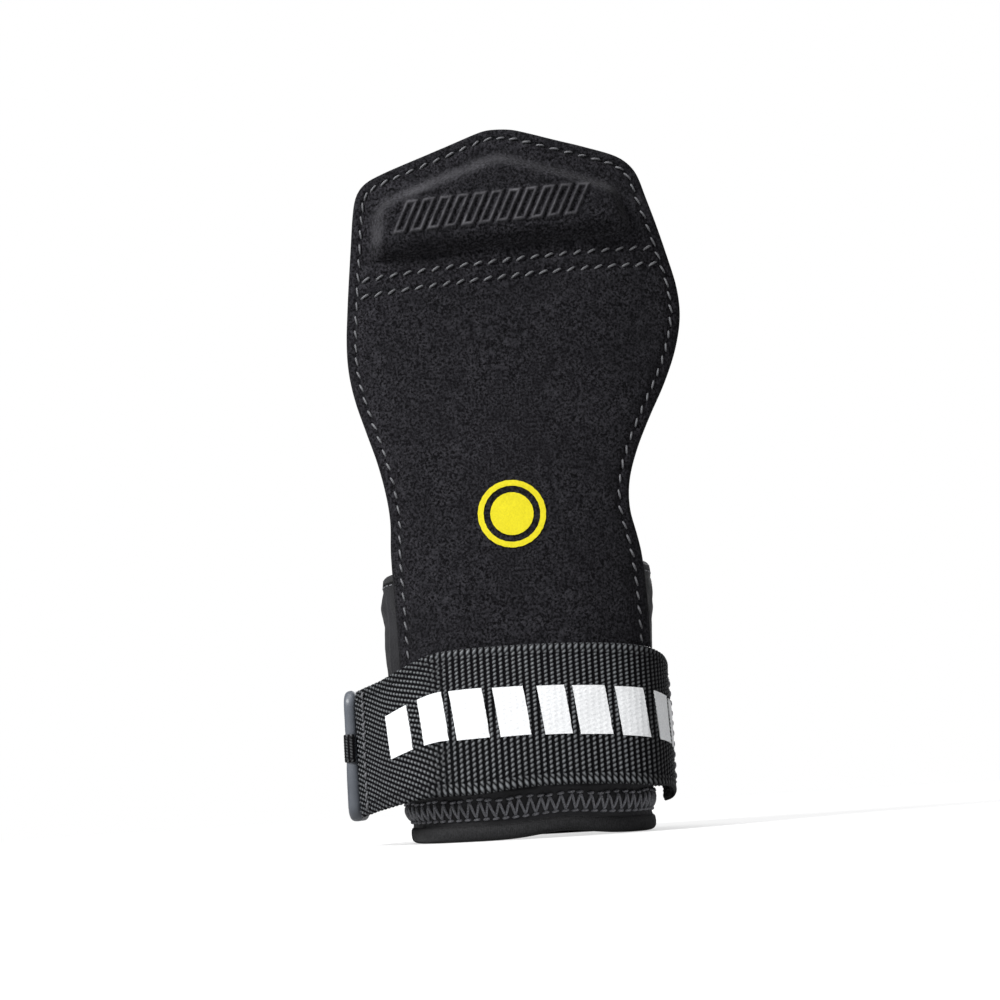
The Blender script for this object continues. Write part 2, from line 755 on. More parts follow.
def triangulate(rings, step, fine=()):
    """The pad's plan: inset rings, then a triangle grid inside the last one.

    fine lists denser zones: step, x from, x to, z from, z to, slope. Gives points (x, z),
    their distance from the rim, their arc position and the faces."""
    stride = max(1, int(round(step / 0.9)))
    index = np.arange(0, len(OUT) - stride + 1, stride)
    count = len(index)
    points = [OUT[index] + INWARD[index] * inset for inset in rings]
    depths = [np.full(count, inset) for inset in rings]
    arcs = [ARC[index]] * len(rings)
    faces = []
    for k in range(len(rings) - 1):
        a = k * count + np.arange(count)
        b = k * count + (np.arange(count) + 1) % count
        faces += np.stack([a, b, b + count, a + count], 1).tolist()

    grid = triangle_grid(step, -60, 60, 20, 214)
    for fine_step, x0, x1, z0, z1, slope in fine:
        x, z = grid[:, 0], grid[:, 1] - slope * grid[:, 0]
        grid = grid[~((x > x0) & (x < x1) & (z > z0) & (z < z1))]
        dense = triangle_grid(fine_step, x0, x1, z0, z1)
        dense[:, 1] += slope * dense[:, 0]
        grid = np.r_[grid, dense]
    grid = grid + (np.random.default_rng(5).random(grid.shape) - 0.5) * 0.02
    rim = points[-1]
    grid = grid[inside(grid, rim + INWARD[index] * step * 0.55)]
    found = geometry.delaunay_2d_cdt(
        [Vector(p) for p in np.r_[rim, grid]], [], [list(range(count))[::-1]], 1, 1e-5)
    verts = np.array([[v.x, v.y] for v in found[0]])
    # a point of the last ring keeps its number, the others follow all the rings
    number, extra = [], []
    for k, origins in enumerate(found[3]):
        on_ring = [q for q in origins if q < count]
        if on_ring:
            number.append((len(rings) - 1) * count + on_ring[0])
        else:
            number.append(len(rings) * count + len(extra))
            extra.append(k)
    faces += [[number[q] for q in face] for face in found[2]]
    points = np.concatenate(points + [verts[extra]])
    depths = np.concatenate(depths + [np.full(len(extra), rings[-1] + 1.0)])
    arcs = np.concatenate(arcs + [np.zeros(len(extra))])
    return points, depths, arcs, [counter_clockwise(points, face) for face in faces]


def vertex_normals(verts, faces):
    mesh = bpy.data.meshes.new("normals")
    mesh.from_pydata(verts.tolist(), [], faces)
    normals = np.zeros(len(verts) * 3, np.float32)
    mesh.vertex_normals.foreach_get("vector", normals)
    bpy.data.meshes.remove(mesh)
    return normals.reshape(-1, 3)


# Bodies a bending piece joins, and where its bend starts and ends (metres).
CUFF_TO_PALM = ("cuff", "palm", Vector((0, 0, (FOLD_Z - FOLD_HALF) / 1000)),
                Vector((0, 0, (FOLD_Z + FOLD_HALF) / 1000)))
_curl = Vector((0, 0, CURL_Z * MM))
_half = Vector((-CURL_SLOPE, 0, 1)).normalized() * CURL_HALF_M
PALM_TO_FINGER = ("palm", "finger", _curl - _half, _curl + _half)


def sheet(name, plan, y_front, y_rear, paint, low_nodes, high_nodes, attributes=None):
    """A closed layer of the pad, in two pieces that share their rim at SPLIT_Z.

    Each piece bends over one fold. Both take the normals of the whole layer, so that they
    shade as one."""
    points, _, _, faces = plan
    x, z = points[:, 0], points[:, 1]
    count = len(points)
    verts = np.r_[np.stack([x, y_front, z], 1), np.stack([x, y_rear, z], 1)]
    normals = vertex_normals(verts, shell(faces, count))
    low = np.array([z[face].mean() for face in faces]) < SPLIT_Z
    for tag, keep, nodes, blend in (("A", low, low_nodes, CUFF_TO_PALM),
                                    ("B", ~low, high_nodes, PALM_TO_FINGER)):
        kept = [face for face, use in zip(faces, keep) if use]
        used = np.unique(np.concatenate(kept))
        number = {int(old): new for new, old in enumerate(used)}
        kept = [[number[q] for q in face] for face in kept]
        both = np.r_[used, used + count]
        make(f"{name}_{tag}", (verts[both], shell(kept, len(used))), paint, nodes, blend=blend,
             attributes={k: np.r_[v[used], v[used]] for k, v in (attributes or {}).items()},
             normals=normals[both])


def suede_layer():
    rings = [0, 0.1, 0.25, 0.45, 0.7, 1.0, 1.4, 1.9, 2.3, 2.65, 3.0, 3.35, 3.7, 4.2, 5.0]
    plan = triangulate(rings, 0.95, [(0.36, -30.5, 29.5, 180.8, 194.0, 0.04),
                                     (0.55, -46, 54, 163.9, 180.8, 0.05)])
    points, depth, arc, _ = plan
    x, z = points[:, 0], points[:, 1]
    edge = np.maximum(clip01(1 - depth / 1.6), gauss((depth - SEAM_INSET) / 0.9) * 0.5)
    sheet("pad_suede", plan, suede_y(x, z, depth, arc), front_y(x, z, depth) + 1.55, SUEDE,
          ["palm_root_face", "palm_face"], ["finger_face"], {"edge": edge, "worn": worn(x, z)})


def backing_layer():
    plan = triangulate([0, 0.15, 0.4, 0.7, 1.2, 1.9, 2.5, 3.0, 3.5, 4.3], 2.2)
    points, depth = plan[:2]
    x, z = points[:, 0], points[:, 1]
    sheet("pad_backing", plan, rear_y(x, z, depth) - 1.35, backing_y(x, z, depth), BACKING,
          ["palm_root_back", "palm_back"], ["finger_back"], {"edge": clip01(1 - depth / 1.6)})


def core_layer():
    plan = triangulate([0.55, 0.9, 1.5, 2.4, 3.5, 5.0], 2.6)
    points, depth = plan[:2]
    x, z = points[:, 0], points[:, 1]
    sheet("pad_core", plan, front_y(x, z, depth) + 1.60, rear_y(x, z, depth) - 1.40, CORE,
          ["palm_core"], ["ridge_insert"])


suede_layer()
backing_layer()
core_layer()

# ------------------------------------------------------------------ the pad's thread and print


def pad_stitches(middle, along, depth, front, rear):
    """A stitch on the front and one on the rear; front and rear are radius, lift and sink."""
    stitches = []
    for surface, side, sizes in ((front_y, -1, front), (rear_y, 1, rear)):
        start, end = (np.array([x, float(surface(x, z, depth)), z])
                      for x, z in (middle - along, middle + along))
        stitches.append(stitch(start, end, (0, side, 0), *sizes))
    return stitches


def edge_stitches():
    """Stitches all round except the middle of the bottom, below and above SPLIT_Z."""
    low, high = [], []
    ring = OUT + INWARD * SEAM_INSET
    for i in range(EDGE_STITCHES):
        place = (i + 0.5) * STITCH_PITCH / PERIMETER * len(OUT)
        k = int(place) % len(OUT)
        middle = ring[k] + (ring[(k + 1) % len(OUT)] - ring[k]) * (place - int(place))
        if middle[1] < 30 and abs(middle[0]) < 33:
            continue
        along = turned(TANGENT[k], 14 + 5 * math.sin(i * 1.7)) * (1.32 + 0.1 * math.sin(i * 2.3))
        part = low if middle[1] < SPLIT_Z else high
        part += pad_stitches(middle, along, SEAM_INSET,
                             front=(0.33, 0.18, 0.55), rear=(0.28, 0.16, 0.5))
    return low, high


def seam_stitches(row):
    """One of the slanted rows across the pad."""
    def height(x):
        return SEAM_HEIGHTS[row] + SEAM_SLOPE * x

    def side_x(side, x):
        xs, zs = zip(*side[8:20])
        return np.interp(height(x), zs, xs)

    start, end = side_x(LEFT, -43) + 3.4, side_x(RIGHT, 50) - 3.4
    count = int((end - start) / 4.08)
    parts = []
    for i in range(count):
        x = start + (i + 0.5) * (end - start) / count
        along = turned((1, 0), 27 + 4 * math.sin(i * 1.3 + row)) * 1.38
        parts += pad_stitches(np.array([x, height(x)]), along, DEEP,
                              front=(0.36, 0.22, 0.6), rear=(0.3, 0.12, 0.5))
    return parts


EDGE_LOW, EDGE_HIGH = edge_stitches()
for name, parts, nodes, blend in (
    ("edge_stitch_A", EDGE_LOW, ["palm_root_stitch", "palm_edge_stitch"], CUFF_TO_PALM),
    ("edge_stitch_B", EDGE_HIGH, ["finger_edge_stitch"], PALM_TO_FINGER),
    ("ridge_stitch_lower", seam_stitches(0), ["ridge_seam_lower"], PALM_TO_FINGER),
    ("ridge_stitch_upper", seam_stitches(1), ["ridge_seam_upper"], PALM_TO_FINGER),
):
    make(name, merge(parts), THREAD, nodes, blend=blend)


def printed_disc(inner, outer, centre=(-0.2, 95.4), lift=0.10, thick=0.22):
    """A thin print that follows the suede: a ring, or a whole disc when inner is 0."""
    turn = np.linspace(0, 2 * math.pi, 96, endpoint=False)
    ragged = 1 + 0.004 * np.sin(turn * 23) + 0.003 * np.sin(turn * 37 + 1)
    radii = np.linspace(inner or 0.25, outer, 10)

    def skin(radii, height):
        x = centre[0] + radii[:, None] * np.cos(turn) * ragged
        z = centre[1] + radii[:, None] * np.sin(turn) * ragged
        return np.stack([x, front_y(x, z) - unevenness(x, z) - height, z], -1)

    sections = np.concatenate([skin(radii, lift), skin(radii[::-1], lift - thick)], 0)
    return loft(sections.transpose(1, 0, 2), closed=True) if inner else loft(sections)


make("palm_print", merge([printed_disc(0, 6.4), printed_disc(8.4, 10.1)]), YELLOW,
     ["palm_emblem"], blend=CUFF_TO_PALM, crisp=42)

# ------------------------------------------------------------------ the cuff's shape

# (z, how far the padding swells at the sides)
SWELL = [(0, 0.0), (6, 0.0), (12, 0.5), (20, 2.1), (30, 3.1), (40, 2.6), (46, 1.8), (51, 1.25),
         (57, 0.95), (64, 0.55), (70, 0.45), (76, 0.3), (82, 0.15)]
WRAP_ANGLES = 117.5, 468.5  # the wrap's two ends, at the back


def cuff_point(angle, out, z):
    """Point at plan angle in degrees, out from the nominal oval, height z."""
    cos, sin = np.cos(np.radians(angle)), np.sin(np.radians(angle))
    side = cos * cos * (1.0 - 0.68 * smooth(cos + 0.5))
    swell = np.interp(z, *zip(*SWELL)) * np.maximum(side, 0.18 * np.maximum(sin, 0))
    grow = out + swell - 0.9 * smooth((z - 72) / 10) * cos**2
    grow = grow - 1.3 * smooth((13 - z) / 11) * np.maximum(-cos, 0) ** 2
    x = (37.2 + 5.0 * z / CUFF_H + grow) * signed_power(cos, 2 / 2.4)
    y = CENTRE_Y + (28 + 2.5 * z / CUFF_H + grow) * signed_power(sin, 2 / 2.4)
    # the lower rim lifts a little at the front, right of the middle
    wave = 1.7 * gauss((x - 10) / 11) * smooth(-sin * 1.5) * np.clip(1 - z / 22, 0, 1)
    return np.stack(np.broadcast_arrays(x, y, z + wave), -1)


FINE_ANGLES = np.linspace(*WRAP_ANGLES, 4000)
FINE_ARCS = arc_lengths(cuff_point(FINE_ANGLES, 0.0, 40.0))
CUFF_LEN = FINE_ARCS[-1]
AROUND = np.linspace(0, CUFF_LEN, 460)
RIB_U = float(np.interp(200.0, FINE_ANGLES, FINE_ARCS))  # an upright rib at the left


def angle_at(u):
    return np.interp(u, FINE_ARCS, FINE_ANGLES)


def end_round(u, radius=3.0):
    """0 inside, rising to 1 at the two ends of the wrap."""
    k = np.clip(1 - np.minimum(u, CUFF_LEN - u) / radius, 0, 1)
    return 1 - np.sqrt(1 - k * k)


def inflate():
    """Cloth simulation of the padded cover.

    A closed shell of cloth, sewn down at its rims and pressed in under the front strap, is
    blown up a little. Gives the skin's outward movement in mm on a (u, z) grid."""
    nu, nz, frames = 66, 20, 20
    us, zs = np.linspace(0, CUFF_LEN, nu), np.linspace(1.3, CUFF_H - 1.3, nz)
    u, z = np.meshgrid(us, zs, indexing="ij")
    jitter = (np.random.default_rng(17).random(u.shape) - 0.5) * 0.25
    angle = angle_at(u)
    outer, inner = cuff_point(angle, -0.35 + jitter, z), cuff_point(angle, -1.3, z)
    count = nu * nz
    verts = np.r_[outer.reshape(-1, 3), inner.reshape(-1, 3)] * MM
    faces = [[i * nz + j, (i + 1) * nz + j, (i + 1) * nz + j + 1, i * nz + j + 1]
             for i in range(nu - 1) for j in range(nz - 1)]
    mesh = bpy.data.meshes.new("inflate")
    mesh.from_pydata(verts.tolist(), [], shell(faces, count))
    outward(mesh)
    obj = bpy.data.objects.new("inflate", mesh)
    scene = bpy.context.scene
    scene.collection.objects.link(obj)

    under_strap = (smooth((-np.sin(np.radians(angle)) + 0.2) / 0.3)
                   * smooth((z - 16) / 3) * smooth((50 - z) / 4))
    fixed = (z < 13.0) | (z > CUFF_H - 6.2) | (u < 4) | (u > CUFF_LEN - 4)
    group = obj.vertex_groups.new(name="pin")
    for k, weight in enumerate(np.maximum(fixed.astype(float), 0.8 * under_strap).ravel()):
        if weight > 0.01:
            group.add([k], float(weight), "REPLACE")
    group.add(list(range(count, 2 * count)), 1.0, "REPLACE")

    cloth = obj.modifiers.new("cloth", "CLOTH")
    for key, value in dict(
        quality=8, mass=0.012, tension_stiffness=6, compression_stiffness=6,
        shear_stiffness=3, bending_stiffness=0.4, vertex_group_mass="pin",
        use_pressure=True, uniform_pressure_force=4.0, shrink_min=-0.05, shrink_max=-0.05,
    ).items():
        setattr(cloth.settings, key, value)
    cloth.settings.effector_weights.gravity = 0.0
    cloth.collision_settings.use_collision = False
    cloth.point_cache.frame_start, cloth.point_cache.frame_end = 1, frames
    for frame in range(1, frames + 1):
        scene.frame_set(frame)
        blown = obj.evaluated_get(bpy.context.evaluated_depsgraph_get())
    places = np.zeros(len(verts) * 3, np.float32)
    blown.data.vertices.foreach_get("co", places)
    places = places.reshape(-1, 3)[:count].reshape(nu, nz, 3) * 1000.0
    move = ((places - outer) * unit(outer - inner)).sum(-1)
    bpy.data.objects.remove(obj)
    bpy.data.meshes.remove(mesh)
    scene.frame_set(1)
    return us, zs, np.clip(move, -0.5, 1.5)


PUFF = inflate()


def puffed(u, z):
    """The simulated movement at (u, z), evenly interpolated."""
    def cell(value, grid):
        place = np.clip((value - grid[0]) / (grid[1] - grid[0]), 0, len(grid) - 1.001)
        index = np.floor(place).astype(int)
        rest = place - index
        return index, smooth(rest) * 0.4 + rest * 0.6

    us, zs, move = PUFF
    i, f = cell(u, us)
    j, g = cell(z, zs)
    return ((move[i, j] * (1 - f) + move[i + 1, j] * f) * (1 - g)
            + (move[i, j + 1] * (1 - f) + move[i + 1, j + 1] * f) * g)


def cover_out(u, z):
    """Outer skin of the padded cover: crowned, pulled in at the rims, with soft wrinkles."""
    height = (z - 1.2) / (CUFF_H - 2.4)
    crown = 1.0 * (1 - np.abs(2 * height - 1) ** 5)
    if PUFF is not None:
        side = np.cos(np.radians(angle_at(u))) ** 2
        crown = 0.5 * crown + 0.9 * puffed(u, z)
        crown = crown * smooth((CUFF_H - 3 - z) / 9) * (1 - 0.55 * side)
    wrinkles = 0.26 * fractal(u / 13, z / 9, 41) + 0.14 * fractal(u / 4, z / 5, 47)
    wrinkles = wrinkles * smooth(z / 14) * smooth((CUFF_H - z) / 12)
    dents = 0.55 * gauss((z - 12.6) / 0.8) + 0.5 * gauss((z - 6.1) / 0.7)
    pucker = 0.22 * np.cos(2 * math.pi * u / 3.1) * gauss((z - 9.3) / 3.0)
    top = 0.22 * gauss((z - (CUFF_H - 5.1)) / 0.5) - 0.38 * smooth((z - 69) / 6)
    rib = 0.3 * gauss((u - RIB_U) / 0.75) * smooth((z - 14) / 4) * smooth((76 - z) / 4)
    return -0.35 + crown * 0.9 + wrinkles - dents + pucker - top + rib


# ------------------------------------------------------------------ the cuff's layers

COVER_Z = np.linspace(1.3, CUFF_H - 1.3, 110)
LINING_Z = np.linspace(1.3, CUFF_H - 1.3, 70)


def columns(out, z):
    return np.stack([np.broadcast_to(out, z.shape), z], 1)


def cover_section(u):
    k = end_round(u)
    outer = cover_out(np.full(len(COVER_Z), u), COVER_Z) - 2.6 * k
    return np.r_[columns(outer, COVER_Z), columns(-1.25 - 1.9 * k, COVER_Z[::-4])]


def foam_section(u):
    z = np.linspace(1.5, CUFF_H - 1.5, 12)
    return np.r_[columns(-1.35, z), columns(-5.2, z[::-1])]


def lining_section(u):
    k = end_round(u)
    puffy = -0.5 * (1 - np.abs(2 * (LINING_Z / CUFF_H) - 1) ** 6)
    puffy = puffy + 0.25 * fractal(np.full(len(LINING_Z), u / 12), LINING_Z / 10, 53)
    inner = -6.05 + puffy * 0.8 + 2.55 * k
    return np.r_[columns(inner, LINING_Z)[::-1], columns(-5.25 + 1.85 * k, LINING_Z)]


def tape_section(rim_z, up, outside, inside_, width, crown):
    """A folded tape round a rim: rounded outside, hollow inside. up is its way inward."""
    def section(u):
        k = end_round(u, 2.0)
        o, i = outside - 1.6 * k, inside_ + 1.6 * k
        middle, half = (o + i) / 2, (o - i) / 2
        wobble = 0.12 * noise(u / 3.1, 0.3, 61) + 0.1 * noise(u / 9.0, 0.7, 62)
        free = width + wobble
        profile = [(o - 0.75 + 0.05 * wobble, free), (o - 0.30, width - 0.6),
                   (o - 0.02, width * 0.62)]
        profile += [(middle + half * signed_power(np.cos(a), 0.62),
                     crown - crown * signed_power(np.sin(a), 0.62))
                    for a in np.linspace(0, math.pi, 15)]
        profile += [(i - 0.18, width * 0.62), (i - 0.12, width - 0.6), (i + 0.25, free),
                    (i + 0.78, free - 0.1), (i + 0.8, 1.35), (o - 0.8, 1.35),
                    (o - 0.78, free - 0.1)]
        return np.array([(out, rim_z + up * z) for out, z in profile])
    return section


def band(name, us, section, paint):
    """Layer round the cuff; section(u) gives its (out, z) polygon at arc position u."""
    sections = np.stack([section(u) for u in us])
    out, z = sections[..., 0], sections[..., 1]
    u = np.broadcast_to(us[:, None], out.shape)
    make(name, loft(cuff_point(angle_at(u), out, z)), paint, ride="cuff",
         rest=np.stack([u, out, z], -1).reshape(-1, 3))


band("cuff_cover", AROUND, cover_section, COVER)
band("cuff_foam", np.linspace(3.2, CUFF_LEN - 3.2, 150), foam_section, FOAM)
band("cuff_lining", AROUND, lining_section, LINING)
band("cuff_binding_bottom", AROUND, tape_section(
    0.0, up=1, outside=0.75, inside_=-7.2, width=4.8, crown=2.6), BINDING)
band("cuff_binding_top", AROUND, tape_section(
    CUFF_H, up=-1, outside=0.15, inside_=-7.1, width=4.5, crown=3.1), BINDING)


def cover_stitch(start, end, count, height, sink, radius):
    """Thread over the cover from (u, z) start to end."""
    t = np.linspace(0, 1, count)
    u, z = (a + (b - a) * t for a, b in zip(start, end))
    ends = np.abs(2 * t - 1) ** 3
    out = cover_out(u, z) + height * (1 - ends) - sink
    return tube(cuff_point(angle_at(u), out, z), radius * (1 - 0.3 * ends))


def zigzag():
    """Zigzag round the bottom, with a short dash where each leg turns."""
    parts = []
    step = CUFF_LEN / int(CUFF_LEN / 3.1)
    for i in range(int(CUFF_LEN / 3.1)):
        u = i * step + 0.4
        peak = (u + step * 0.5 + 0.3 * math.sin(i * 2.1), 11.7 + 0.3 * math.sin(i * 1.3 + 1))
        for start, end in (((u, 6.8), peak), (peak, (u + step, 6.8))):
            if end[0] > CUFF_LEN - 1:
                continue
            parts.append(cover_stitch(start, end, 7, height=0.42, sink=0.12, radius=0.42))
            z = end[1] + (0.35 if end[1] > 9 else -0.35)
            parts.append(cover_stitch((end[0] - 0.95, z - 0.125), (end[0] + 0.95, z + 0.125), 5,
                                      height=0.5, sink=0.15, radius=0.46))
    return parts


def top_row():
    """Straight row along the upper binding."""
    parts = []
    count = int(CUFF_LEN / 3.4)
    for i in range(count):
        u = 1.5 + i * (CUFF_LEN - 3) / count
        start, end = cuff_point(angle_at(np.array([u, u + 2.3])), -0.12, CUFF_H - 3.6)
        middle = (start + end) / 2 - np.array([0, CENTRE_Y, 0])
        out = np.array([middle[0], middle[1], 0]) / np.hypot(middle[0], middle[1])
        parts.append(stitch(start, end, out, radius=0.22, lift=0.2, sink=0.3))
    return parts


make("cuff_stitch", merge(zigzag() + top_row()), DARK_THREAD, ["cuff_cover_stitch"], ride="cuff")

# ------------------------------------------------------------------ straps

# Plan points (x, y from CENTRE_Y) of the strap lines, each from its right or inner end on.
FRONT_POINTS = [
    [42.2, 9], [43.4, 1], [43.7, -7.5], [42.8, -15], [40.7, -21.4], [36.4, -27.6], [28.4, -32],
    [16.8, -35], [4, -36.1], [-8, -36.1], [-19, -35], [-27.6, -32.1], [-34.9, -27.3],
    [-40.8, -21.7], [-46, -15.6], [-50.9, -9.2],
]
CLOSURE_POINTS = [
    [41.6, -4], [41.2, 4], [39.7, 11.5], [35, 19], [27, 25.2], [15, 29.5], [2, 30.9],
    [-10, 30.7], [-22, 29.1], [-33, 25.8], [-42.2, 20.8], [-47.3, 15.8], [-49.45, 10.04],
]
TAIL_POINTS = [
    [-54.5, 10.4], [-53.4, 14.6], [-50.7, 19.4], [-44.6, 24.7], [-34.5, 29.7], [-22.7, 33.1],
    [-10.6, 34.7],
]
PULL_POINTS = [[-14.5, 34.3], [-10.1, 34.8], [-4.6, 35.2], [1, 35.25]]


def ring_turn(*degrees):
    """Strap points round the ring's rear bar."""
    return [[-52.0 + 2.55 * math.cos(a), 10.04 + 2.55 * math.sin(a)] for a in np.radians(degrees)]


FRONT = Line(FRONT_POINTS, side=-1, rise=True)
CLOSURE = Line(CLOSURE_POINTS + ring_turn(-18, -54, -90), side=1)
TAIL = Line(ring_turn(-90, -126, -162) + TAIL_POINTS, side=-1)
PULL = Line(PULL_POINTS, side=-1)
FRONT_WIDTH, FRONT_THICK = 38, 1.7
CLOSURE_WIDTH, CLOSURE_THICK = 30, 1.5
CORD = 1.86  # pitch of the weave's cords
WEAVE_DEPTH = 0.46


def fraction(value):
    """Place within a repeat, -0.5 to 0.5."""
    return value - np.floor(value) - 0.5


def weave(u, v, width, cord=CORD, bead=1.2, selvage=3.0, twill=0.0):
    """Height 0 to 1 of a tight webbing: cords across the strap made of slanted beads, a
    firmer selvage, and, where twill is 1, plain slanting ribs."""
    def beads(half_width, place):
        lobe = np.clip(np.cos(math.pi * fraction(place)), 0, 1)
        return np.sqrt(np.clip(1 - (across / half_width) ** 2, 0, 1)), lobe

    column = np.floor(u / cord)
    across = u / cord - column - 0.5
    dome, lobe = beads(0.36, v / bead + column * 0.5 + 0.75 * across)
    body = dome * (0.30 + 0.70 * lobe**1.3)
    slope = (v - 0.5 * u) / 1.42
    rib = np.clip(np.cos(math.pi * fraction(slope)), 0, 1) ** 1.4
    step = fraction(u / 1.25 + 0.5 * np.floor(slope))
    rib = rib * (0.18 + 0.82 * np.clip(np.cos(math.pi * step), 0, 1) ** 0.8)
    body = body * (1 - twill) + rib * twill
    from_edge = width / 2 - np.abs(v)
    dome, lobe = beads(0.42, v / 1.7 + np.sign(v) * 0.9 * across)
    border = dome * (0.30 + 0.70 * lobe)
    k = smooth((selvage - from_edge) / 0.5) * (1 - 0.8 * twill)
    gap = 1 - 0.30 * gauss((from_edge - selvage - 0.1) / 0.25)
    return (body * (1 - k) + border * k) * gap


def front_twill(u):
    """The front strap turns to plain ribs towards its left end."""
    return smooth((u - FRONT.length + 44) / 16)


def strap(name, line, width, thick, paint, wavy, seed, steps, twill=None, **join):
    """Woven strap: weave on both faces, rounded edges. Gives its lie, a gentle waviness."""
    def lie(u, v):
        return wavy * fractal(u / 17, v / 30, seed) + 0.5 * wavy * noise(u / 9, v / 14, seed + 5)

    step_u, step_v = (step for step in steps)
    u, v = np.meshgrid(np.linspace(0, line.length, int(line.length / step_u)),
                       np.linspace(-width / 2, width / 2, int(width / step_v)), indexing="ij")
    edge = np.clip(width / 2 - np.abs(v), 0, 0.9)
    ends = clip01(np.minimum(u, line.length - u) / 0.5)
    rounding = quarter_round(edge / 0.9) * (0.25 + 0.75 * quarter_round(ends))
    body = rounding * (thick / 2 - WEAVE_DEPTH * 0.5)
    relief = 0.3 + 0.7 * rounding
    outer_weave = weave(u, v, width, twill=twill(u) if twill else 0.0)
    inner_weave = weave(u + CORD / 2, v, width)
    outer = lie(u, v) + body + WEAVE_DEPTH * (outer_weave - 0.3) * relief
    inner = lie(u, v) - body - WEAVE_DEPTH * (inner_weave - 0.3) * relief
    wave = 0.10 * np.sin(2 * math.pi * u / CORD) * (edge < 0.5) * np.sign(v)
    verts, faces = loft(two_sided(line.point(u, outer, v + wave), line.point(u, inner, v + wave)))
    rest = two_sided(np.stack([u, outer, v], -1), np.stack([u + 300, inner, v], -1))
    # the front strap darkens towards its right end
    tone = 1 - (0.8 if line.rise else 0.0) * smooth((verts[:, 0] - 29) / 12)
    make(name, (verts, faces), paint, rest=rest.reshape(-1, 3),
         attributes={"weave": two_sided(outer_weave, inner_weave).reshape(-1), "tone": tone},
         **join)
    return lie


front_lie = strap("front_strap", FRONT, FRONT_WIDTH, FRONT_THICK, WEBBING, wavy=0.35, seed=71,
                  steps=(0.26, 0.17), twill=front_twill, ride="cuff")


def print_block(start, end, low, high, slant=1.7):
    """A slanted block printed on the front strap; the weave shows through faintly."""
    nu, nv = max(4, int((end - start) / 0.3)), max(4, int((high - low) / 0.25))
    a, b = np.meshgrid(np.linspace(0, 1, nu), np.linspace(0, 1, nv), indexing="ij")
    v = low + (high - low) * b
    u = start + (end - start) * a + slant * (b - 0.5)
    u = u + 0.10 * noise(v * 1.7, a * 3, 83) * (np.abs(a - 0.5) > 0.45)  # ragged ends
    height = np.maximum(weave(u, v, FRONT_WIDTH, twill=front_twill(u)), 0.55)
    face = FRONT_THICK / 2 - WEAVE_DEPTH / 2 + front_lie(u, v)
    top = face + 0.28 + WEAVE_DEPTH * (height - 0.3) * 0.5
    return loft(two_sided(FRONT.point(u, top, v), FRONT.point(u, top - 0.35, v)))


def strap_print():
    """Nine blocks along the front strap, stepping down to the right."""
    start, end = FRONT.station([1.9, 13.3])
    pitch = (end - start) / 9
    blocks = []
    for i in range(9):
        u = start + i * pitch
        middle = 0.9 - 1.45 * (float(FRONT.plan(u + pitch * 0.37)[0]) + 38) / 78
        share = (0.80, 0.66, 0.74)[i % 3]
        blocks.append(print_block(u, u + pitch * share, middle - 6.5, middle + 6.6))
    make("strap_print", merge(blocks), WHITE, ride="cuff", crisp=55)


def sew(name, line, lie, rows, out, radius, paint=DARK_THREAD, length=2.1, ride="cuff"):
    """Stitched rows on a strap's outer face; a row is its (u, v) start, end and slant."""
    parts = []
    t = np.linspace(-length / 2, length / 2, 7)
    ends = np.abs(t / (length / 2)) ** 3
    for start, end, slant in rows:
        start, run = np.array(start), np.array(end) - np.array(start)
        span = math.hypot(*run)
        count = max(1, int(span / 3.0))
        along = turned(run / span, slant)
        for i in range(count):
            middle = start + run * ((i + 0.5) / count)
            u, v = middle[:, None] + along[:, None] * t
            lift = out + lie(u, v) + (1 - ends) * 0.5 - 0.25
            parts.append(tube(line.point(u, lift, v), radius * (1 - 0.3 * ends)))
    make(name, merge(parts), paint, ride=ride)


def box_rows(start, end, half, slant):
    """Four stitched sides of a rectangle."""
    return ([((start, v), (end, v), slant) for v in (-half, half)]
            + [((u, -half), (u, half), slant) for u in (start, end)])


def front_stitches():
    ring_u = FRONT.length - 5.2
    sew("ring_tab_stitch", FRONT, front_lie, [((ring_u, 18.0), (ring_u + 0.3, -18.0), 6)],
        out=1.05, radius=0.42, paint=THREAD, length=1.9)
    # a crossed box at the strap's right end
    start, end = FRONT.station([0.3, 1.7])
    cross = [((start, -15), (end, 15), 0), ((start, 15), (end, -15), 0)]
    sew("strap_anchor_stitch", FRONT, front_lie, box_rows(start, end, 15, slant=8) + cross,
        out=0.95, radius=0.3)


strap_print()
front_stitches()

closure_style = dict(width=CLOSURE_WIDTH, thick=CLOSURE_THICK, paint=CLOSURE_WEBBING,
                     wavy=0.12, seed=75, steps=(0.4, 0.3))
closure_lie = strap("closure_strap", CLOSURE, **closure_style, blend=(
    "cuff", "ring", Vector((-0.030, 0.0315, STRAP_Z * MM)),
    Vector((-0.0485, 0.0185, STRAP_Z * MM))))
tail_lie = strap("closure_tail", TAIL, **closure_style, blend=(
    "ring", "tail", Vector((-0.0545, 0.0145, STRAP_Z * MM)),
    Vector((-0.0525, 0.0205, STRAP_Z * MM))))


